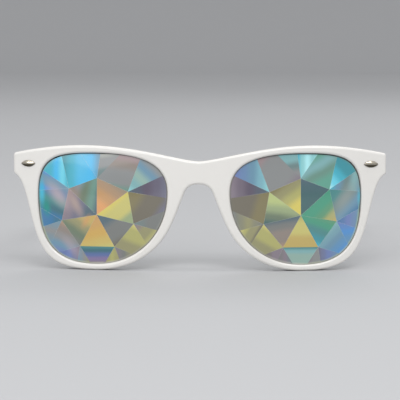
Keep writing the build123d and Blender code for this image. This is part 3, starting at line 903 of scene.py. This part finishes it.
def paintLens(bm, names, spreads, inner, node):
    low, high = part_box(node)
    middle = (low + high) / 2
    side = sideOf(node)
    colour = {key: bm.loops.layers.float_color.new(key) for key in (*tones, "borderShading")}
    number = {key: bm.loops.layers.float.new(key) for key in ("sweep", "border")}
    place = bm.loops.layers.float_vector.new("lensPlace")
    for face in bm.faces:
        face.smooth = face not in names
        for loop in face.loops:
            spot = loop.vert.co
            offset = (spot - middle) / mm
            way = offset.normalized()
            loop[place] = Vector((offset.x, offset.z, 0))
            if face in names:
                along, start, end, chosen = spreads[names[face]]
                loop[number["sweep"]] = (spot.dot(along) - start) / (end - start)
                loop[colour["borderShading"]], strength = paintBorderLightAndShade(way, side)
                if loop.vert not in inner:
                    loop[number["border"]] = strength
            else:
                height = (spot.z - low.z) / (high.z - low.z)
                chosen = [paintWallLightAndShade(height, max(0, -way.x * side))] * len(tones)
            for key, tint in zip(tones, chosen):
                loop[colour[key]] = tint


def makeFilmSheet(node, lensMesh, names, out, middle):
    # the film on the back shows the facets through the lens, so it is cut along the same lines
    filmNode = node.replace("lens", "grating_film")
    bm = lensMesh.copy()
    kept = {face.index for face in names}
    bm.faces.ensure_lookup_table()
    bmesh.ops.delete(bm, geom=[face for face in bm.faces if face.index not in kept], context="FACES")
    back = out * min(vert.co.dot(out) for vert in nodes[filmNode].data.vertices)
    centre = middle - out * middle.dot(out)
    for vert in bm.verts:
        flat = vert.co - out * vert.co.dot(out)
        vert.co = centre + (flat - centre) * lens["filmScale"] + back
    bmesh.ops.reverse_faces(bm, faces=bm.faces)
    sheet = bmesh.ops.extrude_face_region(bm, geom=list(bm.faces))
    raised = [item for item in sheet["geom"] if isinstance(item, bmesh.types.BMVert)]
    bmesh.ops.translate(bm, vec=out * lens["filmThickness"] * mm, verts=raised)
    bmesh.ops.recalc_face_normals(bm, faces=bm.faces)
    standFor(filmNode, toMesh(bm, "filmSheet"), lensMaterials[node][1])


def makeLens(node):
    bm, names, out = facetedCopy(node)
    missing = set(sweeps[node]) - set(names.values())
    print(node, "facets:", len(names), "without a facet:", sorted(missing))
    low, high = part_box(node)
    middle = (low + high) / 2
    spreads = spreadFacets(node, names)
    restOnRim(names, out, middle, sideOf(node))
    inner = cutBorder(bm, names)
    paintLens(bm, names, spreads, inner, node)
    makeFilmSheet(node, bm, names, out, middle)
    mesh = toMesh(bm, "facetedLens")
    mesh.set_sharp_from_angle(angle=math.radians(lens["sharp"]))
    standFor(node, mesh, lensMaterials[node][0])


for side in sides:
    makeLens(side + "_lens")
print("lenses made")


# Geometry node trees: the polished arrises that follow the facets' edges, and the round-headed
# pins of the temple hinges

def finishTree(tree, given, made, geometry):
    solid = addNode(tree, "GeometryNodeRealizeInstances", {"Geometry": geometry})
    painted = addNode(tree, "GeometryNodeSetMaterial",
                      {"Geometry": solid.outputs[0], "Material": given["Material"]})
    return finishGroup(tree, made, {"Geometry": painted.outputs[0]})


def runTree(tree, mesh, values):
    # the modifier's inputs go by the identifiers of the tree's sockets
    holder = newObject("holder", mesh)
    modifier = addModifier(holder, "NODES", node_group=tree)
    sockets = {item.name: item.identifier for item in tree.interface.items_tree if item.in_out == "INPUT"}
    for key, value in values.items():
        modifier[sockets[key]] = value
    return plainMesh(holder)


arris = {
    "radius": 0.02,  # mm
    "sides": 6,
    "sharpest": 0.6,  # degrees between two facets that have an arris between them
    "fixed": {"IOR": 1.49, "Coat Weight": 0.6, "Coat Roughness": 0.03},
    # pale, so that the arrises read as bright lines: their rounding catches real light, and the pale tint is
    # a painted highlight
    "surface": {"Colour": linear((0.80, 0.82, 0.80)), "Tone Drift": 0.2, "Speck Depth": 0.02,
                "Smooth": 0.06, "Smudged": 0.14},
}


def makeArrisTree():
    tree, given, made = newTree("Geometry", "facetArrises", {
        "Geometry": ("Geometry", None),
        "Radius": ("Float", 0.00005),
        "Sides": ("Int", 6),
        "Least Angle": ("Float", 0.01),
        "Material": ("Material", None),
    }, {"Geometry": "Geometry"})
    angle = addNode(tree, "GeometryNodeInputMeshEdgeAngle").outputs["Unsigned Angle"]
    bent = addNode(tree, "FunctionNodeCompare", {"A": angle, "B": given["Least Angle"]},
                   data_type="FLOAT", operation="GREATER_THAN")
    lines = addNode(tree, "GeometryNodeMeshToCurve",
                    {"Mesh": given["Geometry"], "Selection": bent.outputs["Result"]})
    profile = addNode(tree, "GeometryNodeCurvePrimitiveCircle",
                      {"Resolution": given["Sides"], "Radius": given["Radius"]})
    tube = addNode(tree, "GeometryNodeCurveToMesh", {
        "Fill Caps": True, "Curve": lines.outputs["Curve"], "Profile Curve": profile.outputs["Curve"]})
    return finishTree(tree, given, made, tube.outputs["Mesh"])


def makeArrisMaterial():
    material, tree, shader = newMaterial("arrisHighlight", arris["fixed"])
    surface = useGroup(tree, "handledSurface", arris["surface"])
    finishShader(tree, shader, surface["Colour"], surface["Roughness"])
    return material


def makeArrises(side, tree, material):
    node = side + "_lens"
    bm, names = facetedCopy(node)[:2]
    bmesh.ops.delete(bm, geom=[face for face in bm.faces if face not in names], context="FACES")
    mesh = runTree(tree, toMesh(bm, "arrisLines"), {
        "Radius": arris["radius"] * mm, "Sides": arris["sides"],
        "Least Angle": math.radians(arris["sharpest"]), "Material": material})
    placePiece(mesh, side + "Arrises", node, material)
    print(side, "arrises, faces:", len(mesh.polygons))


arrisTree = makeArrisTree()
arrisHighlight = makeArrisMaterial()
for side in sides:
    makeArrises(side, arrisTree, arrisHighlight)
print("arrises made")

pin = {
    "rim": 0.35,  # height of the head at its edge, as a share of its height
    "headHeight": 0.4,  # mm
    "headBand": 0.45,  # mm below the top where the node's head is measured
    "shankBand": 0.1,  # mm above the bottom where its shank is measured
    "sides": 40,
    "rings": 6,
    "sharp": 35.0,  # degrees
}


def makePinTree():
    tree, given, made = newTree("Geometry", "roundHeadPins", {
        "Geometry": ("Geometry", None),
        "Count": ("Int", 2),
        "Spacing": ("Float", 0.004),
        "Head Radius": ("Float", 0.00095),
        "Head Height": ("Float", 0.0004),
        "Rim Share": ("Float", 0.35),
        "Shank Radius": ("Float", 0.00055),
        "Shank Length": ("Float", 0.0028),
        "Sides": ("Int", 40),
        "Rings": ("Int", 6),
        "Material": ("Material", None),
    }, {"Geometry": "Geometry"})

    def vector(**parts):
        return addNode(tree, "ShaderNodeCombineXYZ", parts).outputs[0]

    def moved(geometry, height):
        shift = {"Geometry": geometry, "Translation": vector(Z=height)}
        return addNode(tree, "GeometryNodeTransform", shift).outputs[0]

    head = addNode(tree, "GeometryNodeMeshCylinder", {
        "Vertices": given["Sides"], "Fill Segments": given["Rings"],
        "Radius": given["Head Radius"], "Depth": given["Head Height"]})
    # the head falls towards its edge by the square of the way out
    position = addNode(tree, "GeometryNodeInputPosition").outputs[0]
    spot = addNode(tree, "ShaderNodeSeparateXYZ", {0: position}).outputs
    reach = vectorNode(tree, "LENGTH", vector(X=spot["X"], Y=spot["Y"]))
    share = mathNode(tree, "DIVIDE", reach, given["Head Radius"])
    fallShare = mathNode(tree, "SUBTRACT", 1.0, given["Rim Share"])
    isTop = mathNode(tree, "GREATER_THAN", spot["Z"], 0.0)
    sink = product(tree, share, share, fallShare, given["Head Height"], isTop, -1.0)
    domed = addNode(tree, "GeometryNodeSetPosition",
                    {"Geometry": head.outputs["Mesh"], "Offset": vector(Z=sink)})
    shank = addNode(tree, "GeometryNodeMeshCylinder", {
        "Vertices": given["Sides"], "Radius": given["Shank Radius"], "Depth": given["Shank Length"]})
    whole = addNode(tree, "GeometryNodeJoinGeometry")
    feed(tree, whole.inputs[0], moved(domed.outputs[0], product(tree, given["Head Height"], 0.5)))
    feed(tree, whole.inputs[0], moved(shank.outputs["Mesh"], product(tree, given["Shank Length"], -0.5)))
    row = addNode(tree, "GeometryNodeMeshLine",
                  {"Count": given["Count"], "Offset": vector(X=given["Spacing"])}, mode="OFFSET")
    pins = addNode(tree, "GeometryNodeInstanceOnPoints",
                   {"Points": row.outputs["Mesh"], "Instance": whole.outputs[0]})
    return finishTree(tree, given, made, pins.outputs[0])


def islands(bm):
    seen, found = set(), []
    for start in bm.verts:
        if start in seen:
            continue
        group = [start]
        seen.add(start)
        for vert in group:  # the group grows as it is walked
            for other in (edge.other_vert(vert) for edge in vert.link_edges):
                if other not in seen:
                    seen.add(other)
                    group.append(other)
        found.append(group)
    return found


def measurePin(group, inwards):
    # the middle of its top, the radii of its head and its shank, and its length
    spots = [vert.co for vert in group]
    top, deep = max(co.x * inwards for co in spots), min(co.x * inwards for co in spots)
    head = [co for co in spots if co.x * inwards > top - pin["headBand"] * mm]
    shank = [co for co in spots if co.x * inwards < deep + pin["shankBand"] * mm]
    middle = sum(head, Vector()) / len(head)
    radii = [max(math.hypot(co.y - middle.y, co.z - middle.z) for co in part) for part in (head, shank)]
    return Vector((top * inwards, middle.y, middle.z)), *radii, top - deep


def makePins(node, tree, material):
    # the places and sizes of the pins are read from the node
    inwards = -sideOf(node)
    bm = weldedCopy(node)
    groups = sorted(islands(bm), key=lambda group: sum(v.co.y for v in group) / len(group))
    measured = [measurePin(group, inwards) for group in groups]
    bm.free()
    (first, headRadius, shankRadius, length), (second, *_) = measured
    height = pin["headHeight"] * mm
    mesh = runTree(tree, bpy.data.meshes.new("pinHolder"), {
        "Count": len(measured), "Spacing": (second - first).length, "Head Radius": headRadius,
        "Head Height": height, "Rim Share": pin["rim"], "Shank Radius": shankRadius,
        "Shank Length": length - height, "Sides": pin["sides"], "Rings": pin["rings"], "Material": material})
    up = Vector((inwards, 0, 0))
    along = (second - first).normalized()
    stand = Matrix((along, up.cross(along), up)).transposed().to_4x4()
    stand.translation = first - up * height
    mesh.transform(stand)
    mesh.shade_smooth()
    mesh.set_sharp_from_angle(angle=math.radians(pin["sharp"]))
    standFor(node, mesh, material)
    print(node, "pins:", len(measured), "faces:", len(mesh.polygons))


pinTree = makePinTree()
for side in sides:
    makePins(side + "_temple_rivets", pinTree, steels["rivet"])
print("pins made")

dressNode("front_frame", finish["front_frame"])
for side in sides:
    for kind, look in finish.items():
        if kind != "front_frame":
            dressNode(f"{side}_{kind}", look)
print("frame, temples and fittings dressed")
